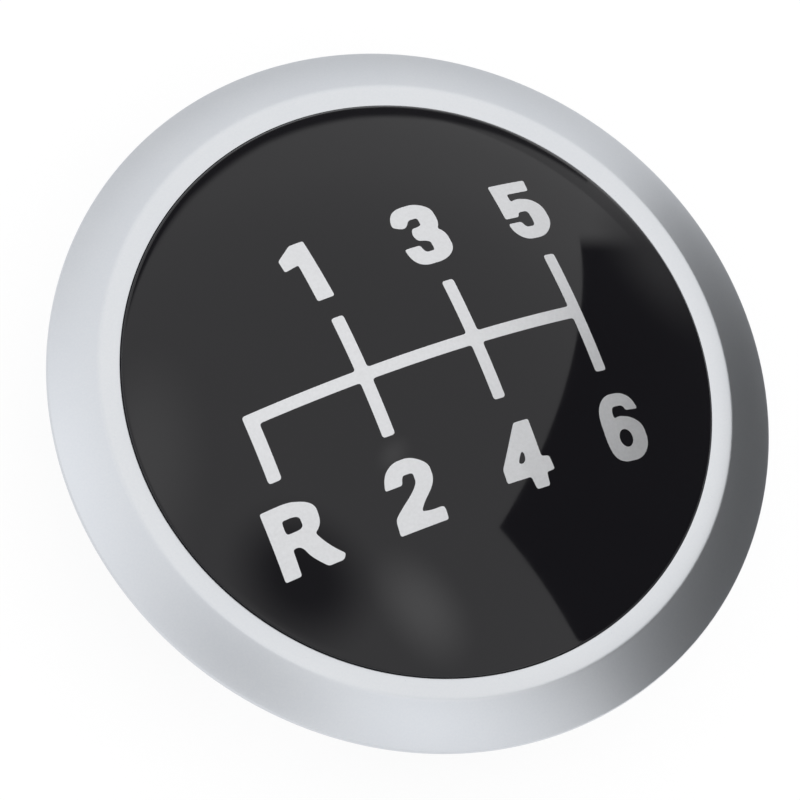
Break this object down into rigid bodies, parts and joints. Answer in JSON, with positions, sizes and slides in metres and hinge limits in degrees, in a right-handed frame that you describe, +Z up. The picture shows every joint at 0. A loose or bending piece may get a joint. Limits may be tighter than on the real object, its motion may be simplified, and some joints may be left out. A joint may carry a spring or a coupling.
{
  "type": "gear knob cap",
  "caption": "Round domed cap that clips into the top of a gear knob: a satin ring with snap fingers below, round a gloss black insert that carries the shift gate.",
  "frame": {"origin": "centre of the seat, where the spigot leaves the flat underside of the ring", "axes": "+Z up along the cap's axis, +Y towards the odd gears, +X towards the highest gears"},
  "size_m": [0.038, 0.038, 0.0125],
  "materials": {
    "satin_chrome": "satin chrome plating on moulded ABS",
    "gloss_black": "piano black, polished",
    "silver_print": "satin silver hot-stamped foil, flush with the insert"
  },
  "bodies": {
    "root": {"bezel_ring": "satin_chrome", "insert_disc": "gloss_black", "gate_lines": "silver_print"}
  },
  "joints": []
}
